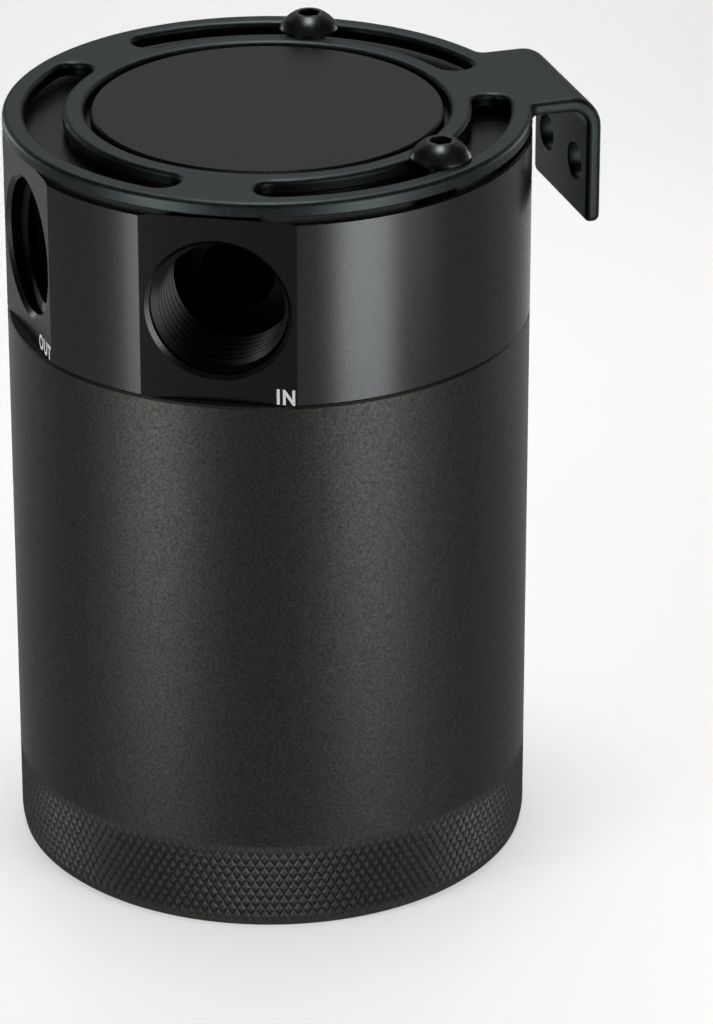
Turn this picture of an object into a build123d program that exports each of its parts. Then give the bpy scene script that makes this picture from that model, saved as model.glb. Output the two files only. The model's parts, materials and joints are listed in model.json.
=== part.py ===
# Oil catch can: a turned aluminium cup that screws up onto a ported head, with a folded
# steel bracket clamped on the head by two button-head screws. Inside the cup hang a bronze
# breather filter, an inlet tube and a drilled baffle on three spacers.
# Millimetres, +Z up. The origin is the centre of the cup's base, and +X points straight out
# of the bracket's tab.

import os
from math import cos, radians, sin, sqrt

from build123d import *

# Driving dimensions of the whole body
BODY_DIAMETER = 63.8
CAN_HEIGHT = 69.7
HEAD_HEIGHT = 23.1
EDGE_BREAK = 0.25

# Cup
CAN_WALL = 3.5
CAN_FLOOR = 3.0
CAN_FLOOR_FILLET = 2.0
BASE_CHAMFER = 0.5
KNURL_HEIGHT = 11.0
KNURL_DEPTH = 0.3

# Seal between cup and head
SEAL_SECTION = 1.5
SEAL_HEIGHT = 1.3
SEAL_ROUND = 0.5
SEAL_CLEARANCE = 0.15

# Screwed joint between cup and head: the spigot is turned to its thread's root
SPIGOT_LENGTH = 9.0
SPIGOT_WALL = 2.4
THREAD_DEPTH = 0.9
POCKET_DEPTH = 7.3

# Head
SEAT_HEIGHT = 0.8
SEAT_MARGIN = 0.45
BOSS_RADIUS = 21.3
BOSS_DROP = 0.25

# Ports: a flat is milled on the head for each, then a pipe thread, a cross drilling and a riser
HEAD_TURN = 1.8
OUTLET_ANGLE = 180 + HEAD_TURN
INLET_ANGLE = 240 + HEAD_TURN
PORT_RADIUS = 8.3
PORT_DEPTH = 12.0
PORT_CHAMFER = 0.5
FLAT_MARGIN = 0.5
CROSS_RADIUS = 4.5
CROSS_OVERRUN = 2.5
RISER_GAP = 1.42

# Folded bracket
PLATE = 1.8
PLATE_ROUND = 0.4
BOSS_GAP = 0.7
SLOT_SPAN = 90.5
SLOT_CLEARANCE = 0.3
SLOT_COUNT = 3
FIRST_SLOT_ANGLE = 60
NECK_ROUND = 1.0
TAB_WIDTH = 19.2
TAB_STANDOFF = 7.55
TAB_DROP = 16.5
TAB_CORNER = 1.0
BEND_RADIUS = 2.2
TAB_HOLE_RADIUS = 2.25
TAB_HOLE_SPACING = 10.0
TAB_HOLE_DROP = 9.85

# Bracket screws: button heads with a hexagon socket
SCREW_RADIUS = 2.0
SCREW_GRIP = 7.0
SCREW_HEAD_RADIUS = 3.65
SCREW_HEAD_HEIGHT = 2.2
SCREW_HEAD_EDGE = 0.35
SCREW_TOP_RADIUS = 1.8
SCREW_DOME_RADIUS = 4.0
SCREW_SOCKET = 2.5
SCREW_SOCKET_DEPTH = 1.3
TAP_CLEARANCE = 0.05
TAP_EXTRA = 1.0

# Bronze breather filter in the outlet's riser
FILTER_THREAD_RADIUS = 4.8
FILTER_THREAD_LENGTH = 6.5
FILTER_HEX = 14.0
FILTER_HEX_HEIGHT = 5.0
FILTER_HEX_CHAMFER = 0.4
FILTER_BORE = 3.0
FILTER_SOCKET_DEPTH = 2.0
FILTER_SOCKET_WALL = 1.2
FILTER_LENGTH = 13.0
FILTER_WALL = 2.2
FILTER_DOME = 2.5
FILTER_GAP = 3.0
WASHER_THICKNESS = 1.0
WASHER_WIDTH = 2.0

# Inlet tube pressed into the inlet's riser
TUBE_RADIUS = 4.0
TUBE_WALL = 1.0
TUBE_INSERTION = 6.0
TUBE_REACH = 6.5

# Baffle under the head
BAFFLE_THICKNESS = 1.5
BAFFLE_GAP = 1.0
BAFFLE_TUBE_GAP = 0.3
DRAIN_RADIUS = 1.6
DRAIN_INSET = 3.2
DRAIN_STEP = 15
DRAIN_CLEAR_ANGLE = 30
DRAIN_ROW = 5
POST_GAP = 0.3
POST_ANGLES = {"front": 270, "right": 30, "rear": 150}
POST_RADIUS = 3.0
POST_BORE_CLEARANCE = 0.2
POST_SCREW_RADIUS = 1.5
POST_SCREW_GRIP = 5.0
POST_HEAD_RADIUS = 2.85
POST_HEAD_HEIGHT = 1.65
POST_HEAD_EDGE = 0.3
POST_TOP_RADIUS = 1.4
POST_DOME_RADIUS = 3.0
POST_SOCKET = 2.0
POST_SOCKET_DEPTH = 0.9

# Levels and radii that follow from the driving dimensions
body_radius = BODY_DIAMETER / 2
can_bore_radius = body_radius - CAN_WALL
seam_z = CAN_HEIGHT
head_top_z = seam_z + HEAD_HEIGHT
bracket_underside_z = head_top_z + SEAT_HEIGHT
bracket_top_z = bracket_underside_z + PLATE
boss_top_z = bracket_top_z - BOSS_DROP

spigot_radius = can_bore_radius - THREAD_DEPTH
spigot_bottom_z = seam_z - SPIGOT_LENGTH
pocket_radius = spigot_radius - SPIGOT_WALL
pocket_roof_z = spigot_bottom_z + POCKET_DEPTH

seal_inner_radius = can_bore_radius
seal_outer_radius = seal_inner_radius + SEAL_SECTION
seal_recess_radius = seal_outer_radius + SEAL_CLEARANCE
seal_bottom_z = seam_z - SEAL_HEIGHT

ring_bore_radius = BOSS_RADIUS + BOSS_GAP
slot_radius = (body_radius + ring_bore_radius) / 2
slot_width = 2 * (SCREW_RADIUS + SLOT_CLEARANCE)
seat_radius = slot_radius - slot_width / 2 - SEAT_MARGIN
tab_x = body_radius + TAB_STANDOFF
tab_bottom_z = bracket_top_z - TAB_DROP
bend_x = tab_x - PLATE - BEND_RADIUS
bend_z = bracket_underside_z - BEND_RADIUS

port_z = seam_z + HEAD_HEIGHT / 2
half_flat = PORT_RADIUS + PORT_CHAMFER + FLAT_MARGIN
flat_distance = sqrt(body_radius**2 - half_flat**2)
outlet_riser_radius = FILTER_THREAD_RADIUS + TAP_CLEARANCE
inlet_riser_radius = TUBE_RADIUS + TAP_CLEARANCE
riser_spacing = FILTER_HEX / sqrt(3) + TUBE_RADIUS + RISER_GAP
riser_distance = riser_spacing / (2 * sin(radians(INLET_ANGLE - OUTLET_ANGLE) / 2))

filter_radius = FILTER_HEX / 2 - FILTER_SOCKET_WALL
filter_hex_drop = WASHER_THICKNESS + FILTER_HEX_HEIGHT
baffle_drop = filter_hex_drop + FILTER_LENGTH + FILTER_GAP
baffle_top_z = pocket_roof_z - baffle_drop
baffle_bottom_z = baffle_top_z - BAFFLE_THICKNESS
baffle_radius = can_bore_radius - BAFFLE_GAP
drain_circle = baffle_radius - DRAIN_INSET
post_circle = pocket_radius - POST_RADIUS - POST_GAP
tube_length = TUBE_INSERTION + baffle_drop + BAFFLE_THICKNESS + TUBE_REACH


def around(radius, angle, z):
    """The point at a radius and an angle about the body's axis, at a level."""
    return Vector(radius * cos(radians(angle)), radius * sin(radians(angle)), z)


def outward(distance, angle, z):
    """A plane that faces out from the body's axis, at a distance along an angle."""
    sideways = around(1, angle + 90, 0)
    return Plane(origin=around(distance, angle, z), x_dir=sideways, z_dir=around(1, angle, 0))


def upward(radius, angle, z):
    """A level plane whose origin stands at a radius and an angle about the body's axis."""
    return Plane(origin=around(radius, angle, z))


outlet_riser = upward(riser_distance, OUTLET_ANGLE, pocket_roof_z)
inlet_riser = upward(riser_distance, INLET_ANGLE, pocket_roof_z)
filter_joint = outlet_riser.offset(-filter_hex_drop)
bracket_screw_angles = {"rear": HEAD_TURN + FIRST_SLOT_ANGLE, "front": HEAD_TURN - FIRST_SLOT_ANGLE}


def button_screw(place, radius, length, head_sizes, dome_radius, socket, socket_depth):
    """A button-head screw: its head's underside lies on the place, its head rises along the normal."""
    head_radius, head_height, head_edge, top_radius = head_sizes
    with BuildPart() as screw:
        with BuildSketch(Plane.XZ):
            with BuildLine():
                Polyline(
                    (top_radius, head_height),
                    (0, head_height),
                    (0, -length),
                    (radius, -length),
                    (radius, 0),
                    (head_radius, 0),
                    (head_radius, head_edge),
                )
                RadiusArc((head_radius, head_edge), (top_radius, head_height), -dome_radius)
            make_face()
        revolve(axis=Axis.Z)
        shank_end = screw.edges().filter_by(GeomType.CIRCLE).sort_by(Axis.Z)[0]
        chamfer(shank_end, EDGE_BREAK)
        with BuildSketch(Plane.XY.offset(head_height)):
            RegularPolygon(socket / 2, 6, major_radius=False)
        extrude(amount=-socket_depth, mode=Mode.SUBTRACT)
    return place.location * screw.part


# Cup: one turned piece, with a seat for the seal in its mouth and a band turned down for the knurl
with BuildPart() as can:
    with BuildSketch(Plane.XZ):
        with BuildLine():
            Polyline(
                (0, 0),
                (body_radius - KNURL_DEPTH - BASE_CHAMFER, 0),
                (body_radius - KNURL_DEPTH, BASE_CHAMFER),
                (body_radius - KNURL_DEPTH, KNURL_HEIGHT),
                (body_radius, KNURL_HEIGHT + KNURL_DEPTH),
                (body_radius, seam_z - EDGE_BREAK),
                (body_radius - EDGE_BREAK, seam_z),
                (seal_recess_radius, seam_z),
                (seal_recess_radius, seal_bottom_z),
                (can_bore_radius, seal_bottom_z),
                (can_bore_radius, CAN_FLOOR),
                (0, CAN_FLOOR),
                close=True,
            )
        make_face()
    revolve(axis=Axis.Z)
    floor_edge = can.edges().filter_by_position(Axis.Z, CAN_FLOOR, CAN_FLOOR)
    fillet(floor_edge, CAN_FLOOR_FILLET)

# Seal: a rubber ring squeezed flat between the cup's seat and the head
with BuildPart() as can_seal:
    with BuildSketch(Plane.XZ):
        with Locations(((seal_inner_radius + seal_outer_radius) / 2, seal_bottom_z + SEAL_HEIGHT / 2)):
            RectangleRounded(SEAL_SECTION, SEAL_HEIGHT, SEAL_ROUND)
    revolve(axis=Axis.Z)

# Head: turned with a spigot below and a stepped boss on top, then milled and drilled
with BuildPart() as head:
    with BuildSketch(Plane.XZ):
        with BuildLine():
            Polyline(
                (0, pocket_roof_z),
                (pocket_radius, pocket_roof_z),
                (pocket_radius, spigot_bottom_z),
                (spigot_radius - EDGE_BREAK, spigot_bottom_z),
                (spigot_radius, spigot_bottom_z + EDGE_BREAK),
                (spigot_radius, seam_z),
                (body_radius - EDGE_BREAK, seam_z),
                (body_radius, seam_z + EDGE_BREAK),
                (body_radius, head_top_z - EDGE_BREAK),
                (body_radius - EDGE_BREAK, head_top_z),
                (seat_radius, head_top_z),
                (seat_radius, bracket_underside_z),
                (BOSS_RADIUS, bracket_underside_z),
                (BOSS_RADIUS, boss_top_z - EDGE_BREAK),
                (BOSS_RADIUS - EDGE_BREAK, boss_top_z),
                (0, boss_top_z),
                close=True,
            )
        make_face()
    revolve(axis=Axis.Z)
    for angle, riser, riser_radius in (
        (OUTLET_ANGLE, outlet_riser, outlet_riser_radius),
        (INLET_ANGLE, inlet_riser, inlet_riser_radius),
    ):
        mouth = outward(flat_distance, angle, port_z)
        with BuildSketch(mouth):
            Rectangle(BODY_DIAMETER, HEAD_HEIGHT)
        extrude(amount=body_radius, mode=Mode.SUBTRACT)
        with BuildSketch(mouth):
            Circle(PORT_RADIUS)
        extrude(amount=-PORT_DEPTH, mode=Mode.SUBTRACT)
        with BuildSketch(mouth):
            Circle(PORT_RADIUS + PORT_CHAMFER)
        extrude(amount=-PORT_CHAMFER, taper=45, mode=Mode.SUBTRACT)
        with BuildSketch(mouth):
            Circle(CROSS_RADIUS)
        extrude(amount=riser_distance - CROSS_OVERRUN - flat_distance, mode=Mode.SUBTRACT)
        with BuildSketch(riser):
            Circle(riser_radius)
        extrude(amount=port_z - pocket_roof_z, mode=Mode.SUBTRACT)
    for angle in bracket_screw_angles.values():
        with BuildSketch(upward(slot_radius, angle, head_top_z)):
            Circle(SCREW_RADIUS + TAP_CLEARANCE)
        extrude(amount=-SCREW_GRIP - TAP_EXTRA, mode=Mode.SUBTRACT)
    for angle in POST_ANGLES.values():
        with BuildSketch(upward(post_circle, angle, pocket_roof_z)):
            Circle(POST_SCREW_RADIUS + TAP_CLEARANCE)
        extrude(amount=POST_SCREW_GRIP + TAP_EXTRA, mode=Mode.SUBTRACT)

# Bracket: one folded plate, a slotted ring with a tab bent down at its side
with BuildPart() as mounting_bracket:
    with BuildSketch(Plane.XY.offset(bracket_underside_z)) as flat_plate:
        Circle(body_radius)
        with Locations((bend_x / 2, 0)):
            Rectangle(bend_x, TAB_WIDTH)
        neck_corners = flat_plate.vertices().group_by(Axis.X)[-2]
        fillet(neck_corners, NECK_ROUND)
        Circle(ring_bore_radius, mode=Mode.SUBTRACT)
        for index in range(SLOT_COUNT):
            slot_start = FIRST_SLOT_ANGLE + index * 360 / SLOT_COUNT - SLOT_SPAN / 2
            slot_middle = CenterArc((0, 0), slot_radius, slot_start, SLOT_SPAN, mode=Mode.PRIVATE)
            SlotArc(slot_middle, slot_width, mode=Mode.SUBTRACT)
    extrude(amount=PLATE)
    with BuildSketch(Plane.XZ):
        with BuildLine():
            CenterArc((bend_x, bend_z), BEND_RADIUS + PLATE, 0, 90)
            Polyline(
                (tab_x, bend_z),
                (tab_x, tab_bottom_z),
                (tab_x - PLATE, tab_bottom_z),
                (tab_x - PLATE, bend_z),
            )
            CenterArc((bend_x, bend_z), BEND_RADIUS, 0, 90)
            Line((bend_x, bracket_underside_z), (bend_x, bracket_top_z))
        make_face()
    extrude(amount=TAB_WIDTH / 2, both=True)
    tab_corners = mounting_bracket.edges().filter_by(Axis.X).group_by(Axis.Z)[0]
    fillet(tab_corners, TAB_CORNER)
    broad_faces = (
        mounting_bracket.faces().filter_by(Axis.Z)
        + mounting_bracket.faces().filter_by(Axis.X).sort_by(SortBy.AREA)[-2:]
    )
    fillet(broad_faces.edges(), PLATE_ROUND)
    with BuildSketch(outward(tab_x, 0, bracket_top_z - TAB_HOLE_DROP)):
        with GridLocations(TAB_HOLE_SPACING, 0, 2, 1):
            Circle(TAB_HOLE_RADIUS)
    extrude(amount=-PLATE, mode=Mode.SUBTRACT)
    hole_rims = mounting_bracket.edges(Select.LAST).filter_by(GeomType.CIRCLE)
    fillet(hole_rims, EDGE_BREAK)

# Bracket screws, in the two slots beside the tab
bracket_screws = {
    name: button_screw(
        upward(slot_radius, angle, bracket_top_z),
        SCREW_RADIUS,
        PLATE + SEAT_HEIGHT + SCREW_GRIP,
        (SCREW_HEAD_RADIUS, SCREW_HEAD_HEIGHT, SCREW_HEAD_EDGE, SCREW_TOP_RADIUS),
        SCREW_DOME_RADIUS,
        SCREW_SOCKET,
        SCREW_SOCKET_DEPTH,
    )
    for name, angle in bracket_screw_angles.items()
}

# Breather filter: a sealing washer, a hexagon fitting with a pipe thread, and a sintered cup
with BuildPart() as filter_washer:
    with BuildSketch(outlet_riser.offset(-WASHER_THICKNESS)):
        Circle(outlet_riser_radius + WASHER_WIDTH)
        Circle(outlet_riser_radius, mode=Mode.SUBTRACT)
    extrude(amount=WASHER_THICKNESS)

with BuildPart() as filter_fitting:
    with BuildSketch(filter_joint):
        RegularPolygon(FILTER_HEX / 2, 6, major_radius=False)
    extrude(amount=FILTER_HEX_HEIGHT)
    chamfer(filter_fitting.faces().filter_by(Axis.Z).edges(), FILTER_HEX_CHAMFER)
    with BuildSketch(outlet_riser.offset(-WASHER_THICKNESS)):
        Circle(FILTER_THREAD_RADIUS)
    extrude(amount=WASHER_THICKNESS + FILTER_THREAD_LENGTH)
    with BuildSketch(outlet_riser.offset(FILTER_THREAD_LENGTH)):
        Circle(FILTER_BORE)
    extrude(amount=-FILTER_THREAD_LENGTH - filter_hex_drop, mode=Mode.SUBTRACT)
    with BuildSketch(filter_joint):
        Circle(filter_radius + TAP_CLEARANCE)
    extrude(amount=FILTER_SOCKET_DEPTH, mode=Mode.SUBTRACT)

with BuildPart() as filter_element:
    with BuildSketch(filter_joint.offset(FILTER_SOCKET_DEPTH)):
        Circle(filter_radius)
    extrude(amount=-FILTER_SOCKET_DEPTH - FILTER_LENGTH)
    fillet(filter_element.faces().sort_by(Axis.Z)[0].edges(), FILTER_DOME)
    with BuildSketch(filter_joint.offset(FILTER_SOCKET_DEPTH)):
        Circle(filter_radius - FILTER_WALL)
    extrude(amount=FILTER_WALL - FILTER_SOCKET_DEPTH - FILTER_LENGTH, mode=Mode.SUBTRACT)

# Inlet tube, which carries the vapour down through the baffle
with BuildPart() as inlet_tube:
    with BuildSketch(inlet_riser.offset(TUBE_INSERTION)):
        Circle(TUBE_RADIUS)
        Circle(TUBE_RADIUS - TUBE_WALL, mode=Mode.SUBTRACT)
    extrude(amount=-tube_length)

# Baffle plate, drilled to let the oil drain, on three spacers with a screw through each
with BuildPart() as baffle_plate:
    with BuildSketch(Plane.XY.offset(baffle_bottom_z)):
        Circle(baffle_radius)
        with Locations(around(riser_distance, INLET_ANGLE, 0)):
            Circle(TUBE_RADIUS + BAFFLE_TUBE_GAP, mode=Mode.SUBTRACT)
        for angle in POST_ANGLES.values():
            with Locations(around(post_circle, angle, 0)):
                Circle(POST_SCREW_RADIUS + POST_BORE_CLEARANCE, mode=Mode.SUBTRACT)
            for index in range(DRAIN_ROW):
                with Locations(around(drain_circle, angle + DRAIN_CLEAR_ANGLE + index * DRAIN_STEP, 0)):
                    Circle(DRAIN_RADIUS, mode=Mode.SUBTRACT)
    extrude(amount=BAFFLE_THICKNESS)

baffle_spacers = {}
baffle_screws = {}
for name, angle in POST_ANGLES.items():
    with BuildPart() as spacer:
        with BuildSketch(upward(post_circle, angle, baffle_top_z)):
            Circle(POST_RADIUS)
            Circle(POST_SCREW_RADIUS + POST_BORE_CLEARANCE, mode=Mode.SUBTRACT)
        extrude(amount=baffle_drop)
    baffle_spacers[name] = spacer.part
    downward = Plane(origin=around(post_circle, angle, baffle_bottom_z), z_dir=(0, 0, -1))
    baffle_screws[name] = button_screw(
        downward,
        POST_SCREW_RADIUS,
        BAFFLE_THICKNESS + baffle_drop + POST_SCREW_GRIP,
        (POST_HEAD_RADIUS, POST_HEAD_HEIGHT, POST_HEAD_EDGE, POST_TOP_RADIUS),
        POST_DOME_RADIUS,
        POST_SOCKET,
        POST_SOCKET_DEPTH,
    )

# One file for each piece
pieces = {
    "can": can.part,
    "can_seal": can_seal.part,
    "head": head.part,
    "mounting_bracket": mounting_bracket.part,
    "filter_washer": filter_washer.part,
    "filter_fitting": filter_fitting.part,
    "filter_element": filter_element.part,
    "inlet_tube": inlet_tube.part,
    "baffle_plate": baffle_plate.part,
}
for name in bracket_screws:
    pieces["bracket_screw_" + name] = bracket_screws[name]
for name in POST_ANGLES:
    pieces["baffle_spacer_" + name] = baffle_spacers[name]
    pieces["baffle_screw_" + name] = baffle_screws[name]

os.makedirs("parts", exist_ok=True)
for name, piece in pieces.items():
    piece.label = name
    export_step(piece, "parts/" + name + ".step")
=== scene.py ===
import json
from math import atan2, ceil, cos, degrees, pi, radians, sin, sqrt, tan

import bmesh
import bpy
from mathutils import Matrix, Vector


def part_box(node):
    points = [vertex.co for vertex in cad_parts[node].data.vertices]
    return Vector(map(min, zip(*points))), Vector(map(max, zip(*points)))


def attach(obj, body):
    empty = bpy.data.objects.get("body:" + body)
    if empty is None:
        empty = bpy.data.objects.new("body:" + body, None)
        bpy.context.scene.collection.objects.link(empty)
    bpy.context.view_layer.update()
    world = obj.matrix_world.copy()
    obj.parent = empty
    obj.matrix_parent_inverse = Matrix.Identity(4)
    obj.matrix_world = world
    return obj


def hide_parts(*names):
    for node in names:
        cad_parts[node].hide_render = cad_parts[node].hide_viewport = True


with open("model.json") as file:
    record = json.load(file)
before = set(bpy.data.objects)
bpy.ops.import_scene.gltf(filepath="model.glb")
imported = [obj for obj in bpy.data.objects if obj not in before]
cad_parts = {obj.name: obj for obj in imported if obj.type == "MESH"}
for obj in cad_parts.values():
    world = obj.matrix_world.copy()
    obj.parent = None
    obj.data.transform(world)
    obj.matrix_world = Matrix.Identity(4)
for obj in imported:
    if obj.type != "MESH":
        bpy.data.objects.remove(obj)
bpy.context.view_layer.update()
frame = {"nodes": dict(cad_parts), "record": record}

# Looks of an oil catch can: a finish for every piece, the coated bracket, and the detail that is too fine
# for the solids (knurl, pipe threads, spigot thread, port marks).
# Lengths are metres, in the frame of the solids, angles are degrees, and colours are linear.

MM = 0.001
UP = Vector((0, 0, 1))

# Camera: looks past the body's axis, found from the outline of the object in the 713 by 1024 image
CAMERA_AZIMUTH = -18.0
CAMERA_ELEVATION = 25.277
CAMERA_SIDEWAYS = 10.71 * MM
CAMERA_BACK = 588.74 * MM
CAMERA_HEIGHT = 319.28 * MM
CAMERA_NEAREST = 10 * MM
FOCAL_PIXELS = 5225
LONG_SIDE_PIXELS = 1024
SENSOR_WIDTH_MM = 36.0

# Floor, lamps and surroundings
FLOOR_SIZE = 6
FLOOR_GREY = (0.49, 0.49, 0.49)
FLOOR_ROUGHNESS = 0.9
FLOOR_GLOW = 0.4
LIGHT_TARGET = Vector((0, 0, 70 * MM))
OVERHEAD_AWAY = 160 * MM
STRIP_HEIGHT = 115 * MM
STRIP_SPREAD = 120
WHITE = (1, 1, 1, 1)
WORLD_STRENGTH = 0.06

# Colours. The blacks are those of dark metals, which mirror a few hundredths of the light
CAN_DARK = (0.0218, 0.0225, 0.0207)
CAN_LIGHT = (0.0408, 0.042, 0.0387)
# The knurl's blacks are paler than the cup's: a painted sheen for the glints on its diamonds
KNURL_SHEEN_DARK = (0.0314, 0.0324, 0.0299)
KNURL_SHEEN_LIGHT = (0.0486, 0.0501, 0.0464)
HEAD_BLACK = (0.0304, 0.0318, 0.0321)
# The port threads' black is darker than the head's: painted shade inside the bores
THREAD_SHADE_BLACK = (0.012, 0.012, 0.012)
COAT_DARK = (0.0285, 0.0347, 0.0351)
COAT_LIGHT = (0.0358, 0.0427, 0.0431)
SCREW_BLACK = (0.0425, 0.047, 0.046)
RUBBER_BLACK = (0.015, 0.015, 0.015)
MARK_DARK = (0.34, 0.34, 0.34)
MARK_LIGHT = (0.46, 0.46, 0.46)
ALUMINIUM = (0.72, 0.72, 0.73)
ZINC = (0.6, 0.6, 0.6)
BRASS = (0.7, 0.5, 0.22)
BRONZE = (0.5, 0.3, 0.14)
COPPER = (0.7, 0.36, 0.22)

# Finishes: the gloss of the dark metals at their outline, the strength and turn of the cup's fine grooves,
# how far a bare metal's grain strays from its colour and roughness, and the span most of a noise lies in
EDGE_GLOSS = (0.6, 0.6, 0.6)
GROOVE_STRENGTH = 0.55
GROOVE_TURN = 0.25
BARE_SPREAD = 0.2
NOISE_LOW = 0.3
NOISE_HIGH = 0.7

# Painted shade by place: the ports' flats and the insides of the bores darker, and the coat darker on its
# walls than where it faces up
FLAT_DARKNESS = 0.45
FLAT_TOLERANCE = 0.03 * MM
BORE_DARKNESS = 0.2
BORE_REACH = 21 * MM
BORE_TOP = 90 * MM
WALL_DARKNESS = 0.6
WALL_SHADE_START = 0.2
WALL_SHADE_FULL = 0.9

# Knurl on the grip band: raised diamonds between two crossing families of grooves
KNURL_STARTS = 172
KNURL_HELIX = 30
KNURL_DEPTH = 0.3 * MM
KNURL_VALLEY = 0.06 * MM
KNURL_SUNK = 0.1 * MM
KNURL_LOW = 0.5 * MM
KNURL_HIGH = 11.3 * MM
KNURL_FLAT = 0.2
KNURL_FADE = 1.3 * MM
KNURL_CHAMFER = 1.2 * MM
KNURL_CUT_TOLERANCE = 0.00001 * MM
KNURL_RIM_TOLERANCE = 0.001 * MM
DIAMOND = ((0, 0), (1, 0), (1, 1), (0, 1))

# Ports and threads. A ridge's foot and crest are half widths, as shares of its pitch, and its ends fade
# over a share of a turn
PORT_CHAMFER = 0.5 * MM
PORT_PITCH = 1.41 * MM
PORT_THREAD_DEPTH = 0.85 * MM
SPIGOT_INSET = 4.4 * MM
SPIGOT_PITCH = 1.5 * MM
SPIGOT_THREAD_DEPTH = 0.8 * MM
SPIGOT_THREAD_LENGTH = 7.5 * MM
RIDGE_FOOT = 0.48
RIDGE_CREST = 0.08
RIDGE_SHARP = 25
THREAD_FADE = 0.5
THREAD_STEPS = 72
THREAD_SUNK = 0.05 * MM

# Bracket: the folded plate again, with its edges as round as the thick coat leaves them
PLATE = 1.8 * MM
PLATE_ROUND = 0.7 * MM
UNDER_ROUND = 0.25 * MM
HOLE_ROUND = 0.3 * MM
ROUND_STEPS = 5
SCREW_GAP = 0.01 * MM
RING_BORE = 22.0 * MM
SLOT_WIDTH = 4.6 * MM
SLOT_SPAN = 90.5
SLOT_ANGLES = (60, 180, 300)
NECK_ROUND = 1.0 * MM
TAB_WIDTH = 19.2 * MM
TAB_CORNER = 1.0 * MM
BEND_RADIUS = 2.2 * MM
BEND_STEPS = 10
BEND_CUT_TOLERANCE = 0.0001 * MM
RIM_STEP = 2
BORE_STEP = 3
HOLE_STEP = 10
CORNER_STEP = 12

# Marks beside the ports: bold narrow capitals at the flat's lower right corner. Boldness and thickness
# are in the font's own size
MARK_HEIGHT = 1.95 * MM
MARK_END = 9.1 * MM
MARK_RISE = 1.2 * MM
MARK_PROUD = 0.02 * MM
MARK_NARROWING = 0.8
MARK_SPACING = 1.2
MARK_BOLDNESS = 0.035
MARK_THICKNESS = 0.5
MARK_WELD = 0.0001 * MM
MARK_ROUGHNESS = 0.7

view_right = Vector((cos(radians(CAMERA_AZIMUTH)), sin(radians(CAMERA_AZIMUTH)), 0))
view_away = Vector((-sin(radians(CAMERA_AZIMUTH)), cos(radians(CAMERA_AZIMUTH)), 0))
cup_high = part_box("can")[1]
body_radius = cup_high.x
seam_z = cup_high.z
spigot_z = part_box("head")[0].z
knurl_root = body_radius - KNURL_DEPTH
knurl_pitch = 2 * pi * knurl_root / KNURL_STARTS / tan(radians(KNURL_HELIX))


# Small tools

def named_mount(name):
    """The place, direction and sizes of the record's mount of that name."""
    for mount in frame["record"]["mounts"]:
        if mount["name"] == name:
            return Vector(mount["pos_m"]), Vector(mount["axis"]).normalized(), mount["dims"]
    raise ValueError("no mount " + name)


def flat_place(mount):
    """The direction of a port's flat, and the flat's distance from the body's axis."""
    place, axis, dims = named_mount(mount)
    return axis, place.dot(axis) + dims["length_mm"] / 2 * MM + PORT_CHAMFER


def axes_matrix(x_axis, y_axis, z_axis, origin):
    """The placing matrix with these axes and this origin."""
    return Matrix((
        (x_axis.x, y_axis.x, z_axis.x, origin.x),
        (x_axis.y, y_axis.y, z_axis.y, origin.y),
        (x_axis.z, y_axis.z, z_axis.z, origin.z),
        (0, 0, 0, 1),
    ))


def arc(center, radius, start, end, step):
    """Points on an arc, from one angle to another, no more than a step apart."""
    count = ceil(abs(end - start) / step)
    points = []
    for index in range(count + 1):
        angle = radians(start + (end - start) * index / count)
        points.append(Vector((center[0] + radius * cos(angle), center[1] + radius * sin(angle))))
    return points


def everything_in(shape):
    """All vertices, edges and faces of a shape."""
    return shape.verts[:] + shape.edges[:] + shape.faces[:]


def join_rings(shape, first, second):
    """A band of faces between two closed rings of as many vertices."""
    for index in range(len(first)):
        after = (index + 1) % len(first)
        shape.faces.new((first[index], first[after], second[after], second[index]))


def finish_piece(name, shape, body, material, smooth=True):
    """Turns a shape's faces outwards and puts it in the scene as a piece of a body."""
    bmesh.ops.recalc_face_normals(shape, faces=shape.faces)
    mesh = bpy.data.meshes.new(name)
    shape.to_mesh(mesh)
    shape.free()
    for polygon in mesh.polygons:
        polygon.use_smooth = smooth
    mesh.materials.append(material)
    piece = bpy.data.objects.new(name, mesh)
    bpy.context.scene.collection.objects.link(piece)
    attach(piece, body)
    return piece


# Material nodes

def new_material(name, color, specular=0.5, metallic=0.0):
    """A material with one Principled shader."""
    material = bpy.data.materials.new(name)
    material.use_nodes = True
    shader = material.node_tree.nodes["Principled BSDF"]
    shader.inputs["Base Color"].default_value = (*color, 1)
    shader.inputs["Specular IOR Level"].default_value = specular
    shader.inputs["Metallic"].default_value = metallic
    return material, shader


def add_node(material, kind, **settings):
    """A node of a kind, with its settings."""
    node = material.node_tree.nodes.new(kind)
    for key, value in settings.items():
        setattr(node, key, value)
    return node


def feed(material, socket, value):
    """Feeds a node's input from another node's output, or sets it to a constant."""
    if isinstance(value, bpy.types.NodeSocket):
        material.node_tree.links.new(value, socket)
    else:
        socket.default_value = value


def combine(material, operation, first, second):
    """A number from two numbers."""
    node = add_node(material, "ShaderNodeMath", operation=operation)
    feed(material, node.inputs[0], first)
    feed(material, node.inputs[1], second)
    return node.outputs["Value"]


def along_axis(material, place, axis):
    """How far a place or a direction reaches along an axis."""
    node = add_node(material, "ShaderNodeVectorMath", operation="DOT_PRODUCT")
    feed(material, node.inputs[0], place)
    feed(material, node.inputs[1], axis)
    return node.outputs["Value"]


def scaled(material, color, factor):
    """A colour times a factor."""
    node = add_node(material, "ShaderNodeVectorMath", operation="SCALE")
    feed(material, node.inputs[0], color)
    feed(material, node.inputs["Scale"], factor)
    return node.outputs["Vector"]


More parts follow.
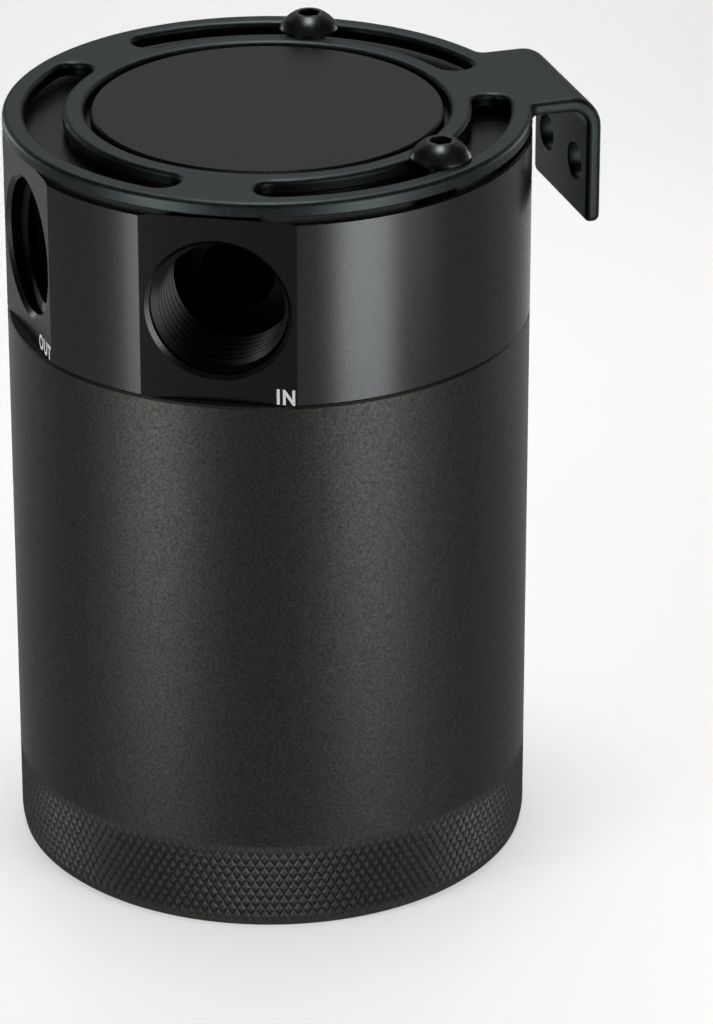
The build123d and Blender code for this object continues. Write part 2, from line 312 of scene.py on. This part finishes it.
def noise(material, scale, detail=2):
    """Noise in the object's own space. Scale is in features a metre."""
    place = add_node(material, "ShaderNodeTexCoord")
    texture = add_node(material, "ShaderNodeTexNoise")
    feed(material, texture.inputs["Vector"], place.outputs["Object"])
    feed(material, texture.inputs["Scale"], scale)
    feed(material, texture.inputs["Detail"], detail)
    return texture.outputs["Fac"]


def remap(material, value, low, high, start=NOISE_LOW, end=NOISE_HIGH):
    """Spreads a value between low and high, as it goes from start to end."""
    node = add_node(material, "ShaderNodeMapRange")
    feed(material, node.inputs["Value"], value)
    feed(material, node.inputs["From Min"], start)
    feed(material, node.inputs["From Max"], end)
    feed(material, node.inputs["To Min"], low)
    feed(material, node.inputs["To Max"], high)
    return node.outputs["Result"]


def tint(material, value, first, second):
    """A colour between two colours, by a noise or a mask."""
    node = add_node(material, "ShaderNodeValToRGB")
    stops = zip(node.color_ramp.elements, (NOISE_LOW, NOISE_HIGH), (first, second))
    for element, position, color in stops:
        element.position = position
        element.color = (*color, 1)
    feed(material, node.inputs["Fac"], value)
    return node.outputs["Color"]


def bump(material, shader, height, depth, strength):
    """Bump of a given depth on a shader."""
    node = add_node(material, "ShaderNodeBump")
    feed(material, node.inputs["Distance"], depth)
    feed(material, node.inputs["Strength"], strength)
    feed(material, node.inputs["Height"], height)
    feed(material, shader.inputs["Normal"], node.outputs["Normal"])


def on_flat(material, place, mount):
    """1 on the milled flat of a port, and 0 elsewhere."""
    axis, distance = flat_place(mount)
    return combine(material, "GREATER_THAN", along_axis(material, place, axis), distance - FLAT_TOLERANCE)


def bore_painted_shade(material, place):
    """Painted shade in the bores: a factor that is lower inside them, near the body's axis and below the
    head's top.
    """
    level = add_node(material, "ShaderNodeVectorMath", operation="MULTIPLY")
    feed(material, level.inputs[0], place)
    feed(material, level.inputs[1], (1, 1, 0))
    reach = add_node(material, "ShaderNodeVectorMath", operation="LENGTH")
    feed(material, reach.inputs[0], level.outputs["Vector"])
    near = combine(material, "LESS_THAN", reach.outputs["Value"], BORE_REACH)
    below = combine(material, "LESS_THAN", along_axis(material, place, UP), BORE_TOP)
    inside = combine(material, "MULTIPLY", near, below)
    return remap(material, inside, 1.0, BORE_DARKNESS, start=0.0, end=1.0)


# Finishes

def dark_metal(name, color):
    """Dark metal, whose gloss rises only a little towards the outline."""
    material, shader = new_material(name, color, metallic=1.0)
    shader.inputs["Specular Tint"].default_value = (*EDGE_GLOSS, 1)
    return material, shader


def blasted_black(name, dark, light):
    """Bead-blasted black anodising: a fine even grain."""
    material, shader = dark_metal(name, light)
    grain = noise(material, scale=3100, detail=3)
    feed(material, shader.inputs["Base Color"], tint(material, grain, dark, light))
    feed(material, shader.inputs["Roughness"], remap(material, grain, low=0.55, high=0.47))
    bump(material, shader, grain, depth=0.03 * MM, strength=0.7)
    return material, shader


def cup_black():
    """The cup's blasted black, over fine grooves around the cup that draw its gloss out up and down."""
    material, shader = blasted_black("blasted_black", CAN_DARK, CAN_LIGHT)
    shader.inputs["Anisotropic"].default_value = GROOVE_STRENGTH
    shader.inputs["Anisotropic Rotation"].default_value = GROOVE_TURN
    around = add_node(material, "ShaderNodeTangent", direction_type="RADIAL", axis="Z")
    feed(material, shader.inputs["Tangent"], around.outputs["Tangent"])
    return material


def knurl_sheen_black():
    """The blasted black again, paler on the knurl: a painted sheen for the glints on its diamonds."""
    return blasted_black("knurl_painted_sheen", KNURL_SHEEN_DARK, KNURL_SHEEN_LIGHT)[0]


def satin_black(name, color):
    """Satin black anodising on a machined surface."""
    material, shader = dark_metal(name, color)
    grain = noise(material, scale=4000, detail=3)
    feed(material, shader.inputs["Roughness"], remap(material, grain, low=0.24, high=0.3))
    bump(material, shader, grain, depth=0.006 * MM, strength=0.5)
    return material, shader


def head_black():
    """The head's satin black, with painted shade: darker on the ports' flats, for the darker reflection
    they show, and inside the bores.
    """
    material, shader = satin_black("satin_black", HEAD_BLACK)
    place = add_node(material, "ShaderNodeTexCoord").outputs["Object"]
    inlet_flat = on_flat(material, place, "inlet_port")
    outlet_flat = on_flat(material, place, "outlet_port")
    either_flat = combine(material, "MAXIMUM", inlet_flat, outlet_flat)
    # Painted shade: the flats darker in colour, for their darker reflection
    flat_shaded = tuple(FLAT_DARKNESS * channel for channel in HEAD_BLACK)
    color = tint(material, either_flat, HEAD_BLACK, flat_shaded)
    feed(material, shader.inputs["Base Color"], scaled(material, color, bore_painted_shade(material, place)))
    return material


def thread_shade_black():
    """The port threads' black, darker than the head's: painted shade inside the bores."""
    return satin_black("thread_shade_black", THREAD_SHADE_BLACK)[0]


def powder_coat():
    """Satin black powder coat: a faint orange peel, and painted shade that darkens the faces turned away
    from up.
    """
    material, shader = dark_metal("powder_coat", COAT_LIGHT)
    peel = noise(material, scale=1500)
    # Painted shade: walls darker than the faces that turn up
    facing = add_node(material, "ShaderNodeTexCoord").outputs["Normal"]
    upward = along_axis(material, facing, UP)
    wall_shade = remap(material, upward, WALL_DARKNESS, 1.0, start=WALL_SHADE_START, end=WALL_SHADE_FULL)
    color = tint(material, peel, COAT_DARK, COAT_LIGHT)
    feed(material, shader.inputs["Base Color"], scaled(material, color, wall_shade))
    feed(material, shader.inputs["Roughness"], remap(material, peel, low=0.36, high=0.44))
    bump(material, shader, peel, depth=0.012 * MM, strength=0.5)
    return material


def black_oxide():
    """Black oxide on steel: dark and fairly glossy."""
    material, shader = dark_metal("black_oxide", SCREW_BLACK)
    mottle = noise(material, scale=2500, detail=3)
    feed(material, shader.inputs["Roughness"], remap(material, mottle, low=0.27, high=0.33))
    bump(material, shader, mottle, depth=0.005 * MM, strength=0.4)
    return material


def bare_metal(name, color, roughness, scale, depth):
    """Bare metal with its own grain."""
    material, shader = new_material(name, color, metallic=1.0)
    grain = noise(material, scale, detail=3)
    dark = tuple((1 - BARE_SPREAD) * channel for channel in color)
    smoother = (1 - BARE_SPREAD) * roughness
    rougher = (1 + BARE_SPREAD) * roughness
    feed(material, shader.inputs["Base Color"], tint(material, grain, dark, color))
    feed(material, shader.inputs["Roughness"], remap(material, grain, smoother, rougher))
    bump(material, shader, grain, depth, strength=0.6)
    return material


def black_rubber():
    """Plain black rubber."""
    material, shader = new_material("black_rubber", RUBBER_BLACK, specular=0.3)
    grain = noise(material, scale=3000)
    feed(material, shader.inputs["Roughness"], remap(material, grain, low=0.55, high=0.7))
    bump(material, shader, grain, depth=0.01 * MM, strength=0.4)
    return material


def mark_grey():
    """Pale grey of a laser mark in black anodising."""
    material, shader = new_material("mark_grey", MARK_LIGHT, specular=0.2)
    shader.inputs["Roughness"].default_value = MARK_ROUGHNESS
    grain = noise(material, scale=6000)
    feed(material, shader.inputs["Base Color"], tint(material, grain, MARK_DARK, MARK_LIGHT))
    return material


knurl_finish = knurl_sheen_black()
thread_finish = thread_shade_black()
mark_finish = mark_grey()
SLOT_FINISHES = {
    "can_anodised": cup_black(),
    "head_anodised": head_black(),
    "bracket_powder_coat": powder_coat(),
    "screw_black": black_oxide(),
    "seal_rubber": black_rubber(),
    "inner_aluminium": bare_metal(
        "machined_aluminium", ALUMINIUM, roughness=0.35, scale=1200, depth=0.01 * MM,
    ),
    "inner_steel": bare_metal("zinc_plate", ZINC, roughness=0.3, scale=2000, depth=0.01 * MM),
    "filter_brass": bare_metal("turned_brass", BRASS, roughness=0.28, scale=1500, depth=0.008 * MM),
    "filter_bronze": bare_metal("sintered_bronze", BRONZE, roughness=0.5, scale=1300, depth=0.25 * MM),
    "washer_copper": bare_metal("plain_copper", COPPER, roughness=0.35, scale=1500, depth=0.01 * MM),
}
for subpart in frame["record"]["subparts"]:
    node = frame["nodes"][subpart["node"]]
    node.data.materials.clear()
    node.data.materials.append(SLOT_FINISHES[subpart["material_slot"]])


# Knurl

def knurl_point(u, v, share):
    """A point where groove u crosses groove v, at a share of the height between valley and crest."""
    angle = pi * (u + v) / KNURL_STARTS
    z = KNURL_LOW + knurl_pitch * (u - v) / 2
    run_out = min(1.0, max(0.0, (z - KNURL_HIGH) / KNURL_FADE + 1))
    turned_off = min(1.0, max(0.0, (z - KNURL_LOW) / KNURL_CHAMFER))
    rise = min(max(share, run_out), turned_off)
    radius = knurl_root + KNURL_VALLEY + (KNURL_DEPTH - KNURL_VALLEY) * rise
    return radius * cos(angle), radius * sin(angle), z


def knurl_skin():
    """The knurl's outer skin: rows of truncated pyramids, which overrun their band at both ends."""
    shape = bmesh.new()
    corners = {}

    def corner(u, v):
        """The one vertex at a crossing, also where the rows close on themselves."""
        key = (u % KNURL_STARTS, u - v)
        if key not in corners:
            corners[key] = shape.verts.new(knurl_point(u, v, 0))
        return corners[key]

    last_row = ceil(2 * (KNURL_HIGH - KNURL_LOW) / knurl_pitch) + 1
    for row in range(-1, last_row + 1):
        for u in range(KNURL_STARTS):
            v = u - row
            outer = [corner(u + step_u, v + step_v) for step_u, step_v in DIAMOND]
            inner = []
            for step_u, step_v in DIAMOND:
                crest_u = u + 0.5 + (2 * step_u - 1) * KNURL_FLAT
                crest_v = v + 0.5 + (2 * step_v - 1) * KNURL_FLAT
                inner.append(shape.verts.new(knurl_point(crest_u, crest_v, 1)))
            shape.faces.new(inner)
            join_rings(shape, outer, inner)
    return shape


def turn_of(vertex):
    """A vertex's angle about the body's axis."""
    return atan2(vertex.co.y, vertex.co.x)


def close_rim(shape, level):
    """Closes the skin's rim at a level with a ledge to a ring of vertices inside the cup's wall.

    The ring is returned in order around the axis, so that each run gives the same mesh.
    """
    radius = knurl_root - KNURL_SUNK
    border = [vertex for vertex in shape.verts if vertex.is_boundary]
    rim = [vertex for vertex in border if abs(vertex.co.z - level) < KNURL_RIM_TOLERANCE]
    rim.sort(key=turn_of)
    ring = []
    for vertex in rim:
        angle = turn_of(vertex)
        ring.append(shape.verts.new((radius * cos(angle), radius * sin(angle), vertex.co.z)))
    join_rings(shape, rim, ring)
    return ring


def wall_between(shape, lower, upper):
    """Closes the gap between two rings of vertices with triangles, stepping on along the ring that lags."""
    low = 0
    high = 0
    while low < len(lower) or high < len(upper):
        here_low = lower[low % len(lower)]
        here_high = upper[high % len(upper)]
        next_low = lower[(low + 1) % len(lower)]
        next_high = upper[(high + 1) % len(upper)]
        if high * len(lower) < low * len(upper):
            shape.faces.new((here_low, next_high, here_high))
            high += 1
        else:
            shape.faces.new((here_low, next_low, here_high))
            low += 1


def make_knurl():
    """The diamond knurl: its skin, cut level at both ends of its band and closed inside the cup's wall."""
    shape = knurl_skin()
    for level, outward in ((KNURL_LOW, -1), (KNURL_HIGH, 1)):
        bmesh.ops.bisect_plane(
            shape, geom=everything_in(shape), dist=KNURL_CUT_TOLERANCE,
            plane_co=(0, 0, level), plane_no=(0, 0, outward), clear_outer=True,
        )
    wall_between(shape, close_rim(shape, KNURL_LOW), close_rim(shape, KNURL_HIGH))
    return finish_piece("can_knurl", shape, "can", knurl_finish, smooth=False)


# Threads

def helix_ridge(name, origin, axis, root, depth, pitch, length, material):
    """A thread ridge of the head, wound about an axis. A negative depth stands inwards from its wall."""
    side = axis.orthogonal().normalized()
    other = axis.cross(side)
    count = int((length / pitch - 1) * THREAD_STEPS)
    sunk = -THREAD_SUNK if depth > 0 else THREAD_SUNK
    shape = bmesh.new()
    rings = []
    for step in range(count + 1):
        angle = 2 * pi * step / THREAD_STEPS
        along = pitch * (0.5 + step / THREAD_STEPS)
        fade = min(1.0, min(step, count - step) / THREAD_STEPS / THREAD_FADE)
        radial = side * cos(angle) + other * sin(angle)
        crest = depth * fade
        section = ((-RIDGE_FOOT, sunk), (-RIDGE_CREST, crest), (RIDGE_CREST, crest), (RIDGE_FOOT, sunk))
        ring = []
        for share, height in section:
            place = origin + axis * (along + share * pitch) + radial * (root + height)
            ring.append(shape.verts.new(place))
        rings.append(ring)
    for first, second in zip(rings, rings[1:]):
        join_rings(shape, first, second)
    shape.faces.new(rings[0][::-1])
    shape.faces.new(rings[-1])
    piece = finish_piece(name, shape, "head", material)
    piece.data.set_sharp_from_angle(angle=radians(RIDGE_SHARP))
    return piece


def make_port_thread(mount):
    """The pipe thread of a port, wound from its mouth inwards."""
    place, axis, dims = named_mount(mount)
    radius = dims["r_mm"] * MM
    length = dims["length_mm"] * MM
    mouth = place + axis * length / 2
    return helix_ridge(
        mount + "_thread", mouth, -axis, radius, -PORT_THREAD_DEPTH, PORT_PITCH, length, thread_finish,
    )


def make_spigot_thread():
    """The thread on the head's spigot, which the cup screws onto."""
    return helix_ridge(
        "spigot_thread", UP * spigot_z, UP, body_radius - SPIGOT_INSET, SPIGOT_THREAD_DEPTH, SPIGOT_PITCH,
        SPIGOT_THREAD_LENGTH, SLOT_FINISHES["head_anodised"],
    )


# Bracket

def plate_outline(ring_radius, length):
    """The unfolded plate's outline, ring and tab, with the metal to the left of the line."""
    half = TAB_WIDTH / 2
    neck_x = sqrt((ring_radius + NECK_ROUND) ** 2 - (half + NECK_ROUND) ** 2)
    neck_y = half + NECK_ROUND
    neck_angle = degrees(atan2(neck_y, neck_x))
    corner_x = length - TAB_CORNER
    corner_y = half - TAB_CORNER
    outline = arc((0, 0), ring_radius, neck_angle, 360 - neck_angle, RIM_STEP)
    outline += arc((neck_x, -neck_y), NECK_ROUND, 180 - neck_angle, 90, CORNER_STEP)[1:]
    outline += arc((corner_x, -corner_y), TAB_CORNER, -90, 0, CORNER_STEP)
    outline += arc((corner_x, corner_y), TAB_CORNER, 0, 90, CORNER_STEP)
    outline += arc((neck_x, neck_y), NECK_ROUND, 270, 180 + neck_angle, CORNER_STEP)[:-1]
    return outline


def arc_slot(angle, middle):
    """An arc slot about the body's axis, round at both ends, with the metal to the left of the line."""
    half = SLOT_WIDTH / 2
    first = angle - SLOT_SPAN / 2
    last = angle + SLOT_SPAN / 2
    first_end = (middle * cos(radians(first)), middle * sin(radians(first)))
    last_end = (middle * cos(radians(last)), middle * sin(radians(last)))
    slot = arc((0, 0), middle - half, first, last, BORE_STEP)
    slot += arc(last_end, half, last + 180, last, CORNER_STEP)[1:-1]
    slot += arc((0, 0), middle + half, last, first, BORE_STEP)
    slot += arc(first_end, half, first, first - 180, CORNER_STEP)[1:-1]
    return slot


def bracket_loops(ring_radius, length, hole_x):
    """The unfolded plate's outline, bore, slots and holes, each with its edge's rounding."""
    dims = named_mount("bracket_holes")[2]
    loops = [
        (plate_outline(ring_radius, length), PLATE_ROUND),
        (arc((0, 0), RING_BORE, 360, 0, BORE_STEP)[:-1], PLATE_ROUND),
    ]
    for angle in SLOT_ANGLES:
        loops.append((arc_slot(angle, (ring_radius + RING_BORE) / 2), PLATE_ROUND))
    for side in (-1, 1):
        center = (hole_x, side * dims["spacing_x_mm"] / 2 * MM)
        loops.append((arc(center, dims["hole_r_mm"] * MM, 360, 0, HOLE_STEP)[:-1], HOLE_ROUND))
    return loops


def into_metal(loop, index):
    """The direction into the plate at a point of a loop, square to the line there."""
    before = (loop[index] - loop[index - 1]).normalized()
    after = (loop[(index + 1) % len(loop)] - loop[index]).normalized()
    along = (before + after).normalized()
    return Vector((-along.y, along.x, 0))


def edge_rings(shape, normals, loop, rounding, ring_radius):
    """Rings of vertices round one edge of the flat plate, from underside to top, with their normals.

    The ring's lower edge is rounded less, because it sits on the head.
    """
    leans = [pi / 2 * step / ROUND_STEPS for step in range(ROUND_STEPS + 1)]
    rings = []
    for side in (-1, 1):
        half = PLATE / 2 - SCREW_GAP if side > 0 else PLATE / 2
        for lean in leans[::side]:
            ring = []
            for index, place in enumerate(loop):
                under_ring = side < 0 and place.length < ring_radius + UNDER_ROUND
                radius = UNDER_ROUND if under_ring else rounding
                inward = into_metal(loop, index)
                level = side * (half - radius * (1 - sin(lean)))
                vertex = shape.verts.new(place.to_3d() + inward * radius * (1 - cos(lean)) + UP * level)
                vertex[normals] = UP * side * sin(lean) - inward * cos(lean)
                ring.append(vertex)
            rings.append(ring)
    return rings


def flat_plate(loops, ring_radius):
    """The unfolded plate about its middle plane, and the layer that holds its vertices' normals."""
    shape = bmesh.new()
    normals = shape.verts.layers.float_vector.new("plate_normal")
    borders = {-1: [], 1: []}
    for loop, rounding in loops:
        rings = edge_rings(shape, normals, loop, rounding, ring_radius)
        for lower, upper in zip(rings, rings[1:]):
            join_rings(shape, lower, upper)
        for side, ring in ((-1, rings[0]), (1, rings[-1])):
            borders[side] += [shape.edges.get((ring[index - 1], ring[index])) for index in range(len(ring))]
    for side, edges in borders.items():
        bmesh.ops.triangle_fill(shape, edges=edges, use_beauty=True, normal=UP * side)
    return shape, normals


def bend_plate(shape, normals, bend_x, bend_z, bend_length):
    """Bends the plate down beyond bend_x, about an axis at bend_z, and gives its vertices' new normals."""
    for step in range(BEND_STEPS + 1):
        cut = (bend_x + bend_length * step / BEND_STEPS, 0, 0)
        bmesh.ops.bisect_plane(
            shape, geom=everything_in(shape), dist=BEND_CUT_TOLERANCE, plane_co=cut, plane_no=(1, 0, 0),
        )
    bent_normals = []
    for vertex in shape.verts:
        past = vertex.co.x - bend_x
        bent = min(max(past / bend_length, 0), 1) * pi / 2
        ahead = min(past, 0) + max(past - bend_length, 0)
        radius = BEND_RADIUS + PLATE / 2 + vertex.co.z
        normal = vertex[normals]
        bent_normals.append(Vector((
            normal.x * cos(bent) + normal.z * sin(bent),
            normal.y,
            normal.z * cos(bent) - normal.x * sin(bent),
        )).normalized())
        vertex.co.x = bend_x + radius * sin(bent) + ahead * cos(bent)
        vertex.co.z = bend_z + radius * cos(bent) - ahead * sin(bent)
    return bent_normals


def make_bracket():
    """The bracket: a flat plate with rounded edges, bent down to its tab."""
    low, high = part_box("mounting_bracket")
    ring_radius = -low.x
    bend_x = high.x - PLATE - BEND_RADIUS
    bend_z = high.z - PLATE - BEND_RADIUS
    bend_length = pi / 2 * (BEND_RADIUS + PLATE / 2)
    unfolded = bend_x + bend_length + bend_z
    hole_z = named_mount("bracket_holes")[0].z
    loops = bracket_loops(ring_radius, unfolded - low.z, unfolded - hole_z)
    shape, normals = flat_plate(loops, ring_radius)
    bent_normals = bend_plate(shape, normals, bend_x, bend_z, bend_length)
    finish = SLOT_FINISHES["bracket_powder_coat"]
    piece = finish_piece("coated_bracket", shape, "bracket", finish)
    piece.data.normals_split_custom_set_from_vertices(bent_normals)
    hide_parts("mounting_bracket")
    return piece


# Marks

def letters(text):
    """A word's letters, in the font's own size."""
    curve = bpy.data.curves.new("mark_" + text, "FONT")
    curve.body = text
    curve.extrude = MARK_THICKNESS
    curve.offset = MARK_BOLDNESS
    curve.space_character = MARK_SPACING
    source = bpy.data.objects.new("mark_source_" + text, curve)
    mesh = bpy.data.meshes.new_from_object(source)
    shape = bmesh.new()
    shape.from_mesh(mesh)
    bpy.data.meshes.remove(mesh)
    bpy.data.objects.remove(source)
    return shape


def make_mark(text, mount):
    """A word marked on a port's flat, low on its right."""
    axis, distance = flat_place(mount)
    right = UP.cross(axis)
    end = axis * distance + UP * (seam_z + MARK_RISE) + right * MARK_END
    placing = axes_matrix(right, UP, axis, end)
    shape = letters(text)
    xs = [vertex.co.x for vertex in shape.verts]
    ys = [vertex.co.y for vertex in shape.verts]
    scale = MARK_HEIGHT / (max(ys) - min(ys))
    shift = Vector((-max(xs), -(max(ys) + min(ys)) / 2, 0))
    for vertex in shape.verts:
        local = (vertex.co + shift) * scale
        local.x *= MARK_NARROWING
        local.z = MARK_PROUD if vertex.co.z > 0 else -MARK_PROUD
        vertex.co = placing @ local
    bmesh.ops.remove_doubles(shape, verts=shape.verts, dist=MARK_WELD)
    return finish_piece("mark_" + text.lower(), shape, "head", mark_finish, smooth=False)


make_knurl()
make_bracket()
make_port_thread("inlet_port")
make_port_thread("outlet_port")
make_spigot_thread()
make_mark("IN", "inlet_port")
make_mark("OUT", "outlet_port")


# Stage: floor, lamps, world and camera

def make_floor():
    """A plain pale floor, which keeps the object's shadow and glows a little where it is seen."""
    bpy.ops.mesh.primitive_plane_add(size=FLOOR_SIZE, location=(0, 0, 0))
    floor = bpy.context.object
    floor.name = "floor"
    material, shader = new_material("floor_white", FLOOR_GREY, specular=0.0)
    shader.inputs["Roughness"].default_value = FLOOR_ROUGHNESS
    shader.inputs["Emission Color"].default_value = WHITE
    ray = add_node(material, "ShaderNodeLightPath")
    seen = ray.outputs["Is Camera Ray"]
    for kind in ("Is Glossy Ray", "Is Transmission Ray"):
        seen = combine(material, "MAXIMUM", seen, ray.outputs[kind])
    feed(material, shader.inputs["Emission Strength"], combine(material, "MULTIPLY", seen, FLOOR_GLOW))
    floor.data.materials.append(material)


def make_softbox(name, bearing, elevation, distance, size, radiance, spread=180, target=LIGHT_TARGET):
    """A softbox that faces a target. Its bearing is degrees to the right of the camera's own."""
    width, height = size
    turn = radians(bearing)
    level = radians(elevation)
    outward = (view_right * sin(turn) - view_away * cos(turn)) * cos(level) + UP * sin(level)
    lamp = bpy.data.lights.new(name, "AREA")
    lamp.shape = "RECTANGLE"
    lamp.size = width
    lamp.size_y = height
    lamp.energy = radiance * pi * width * height
    lamp.spread = radians(spread)
    light = bpy.data.objects.new(name, lamp)
    across = UP.cross(outward) if elevation < 90 else view_right.copy()
    across.normalize()
    light.matrix_world = axes_matrix(across, outward.cross(across), outward, target + outward * distance)
    light.visible_camera = False
    bpy.context.scene.collection.objects.link(light)


def make_strip(name, bearing, distance, width, radiance):
    """An upright softbox beside the object, whose light is drawn together."""
    size = (width, STRIP_HEIGHT)
    make_softbox(name, bearing, 0, distance, size, radiance, spread=STRIP_SPREAD)


def make_lamps():
    """Panels above and behind for what faces up, and strips around for the highlights down the walls."""
    make_softbox(
        "overhead", bearing=180, elevation=90, distance=0.6, size=(0.16, 0.5), radiance=0.8,
        spread=40, target=view_away * OVERHEAD_AWAY,
    )
    make_softbox("back_panel", bearing=180, elevation=28, distance=1.0, size=(1.6, 0.8), radiance=0.68)
    make_softbox("back_top", bearing=180, elevation=55, distance=0.8, size=(0.5, 0.5), radiance=2.4)
    make_strip("left_strip", bearing=-43, distance=0.14, width=0.056, radiance=3.75)
    make_strip("right_strip", bearing=38.8, distance=0.14, width=0.056, radiance=3.75)
    make_strip("right_rim", bearing=135, distance=0.3, width=0.06, radiance=4.5)
    make_strip("left_rim", bearing=-135, distance=0.3, width=0.06, radiance=4.5)
    make_strip("right_tail", bearing=62, distance=0.2, width=0.06, radiance=0.75)
    make_strip("right_side", bearing=114, distance=0.3, width=0.12, radiance=1.3)
    make_strip("left_side", bearing=-114, distance=0.3, width=0.12, radiance=1.3)


def make_world():
    """Even white surroundings, dim beside the lamps."""
    world = bpy.data.worlds.new("studio")
    bpy.context.scene.world = world
    world.use_nodes = True
    background = world.node_tree.nodes["Background"]
    background.inputs["Color"].default_value = WHITE
    background.inputs["Strength"].default_value = WORLD_STRENGTH


def make_camera():
    """The camera at the photograph's viewing angle."""
    level = radians(CAMERA_ELEVATION)
    backward = -view_away * cos(level) + UP * sin(level)
    upward = view_away * sin(level) + UP * cos(level)
    eye = view_right * CAMERA_SIDEWAYS - view_away * CAMERA_BACK + UP * CAMERA_HEIGHT
    data = bpy.data.cameras.new("camera")
    data.sensor_width = SENSOR_WIDTH_MM
    data.lens = FOCAL_PIXELS * SENSOR_WIDTH_MM / LONG_SIDE_PIXELS
    data.clip_start = CAMERA_NEAREST
    camera = bpy.data.objects.new("camera", data)
    camera.matrix_world = axes_matrix(view_right, upward, backward, eye)
    bpy.context.scene.collection.objects.link(camera)
    bpy.context.scene.camera = camera


make_floor()
make_lamps()
make_world()
make_camera()
bpy.context.scene.view_settings.view_transform = "Standard"
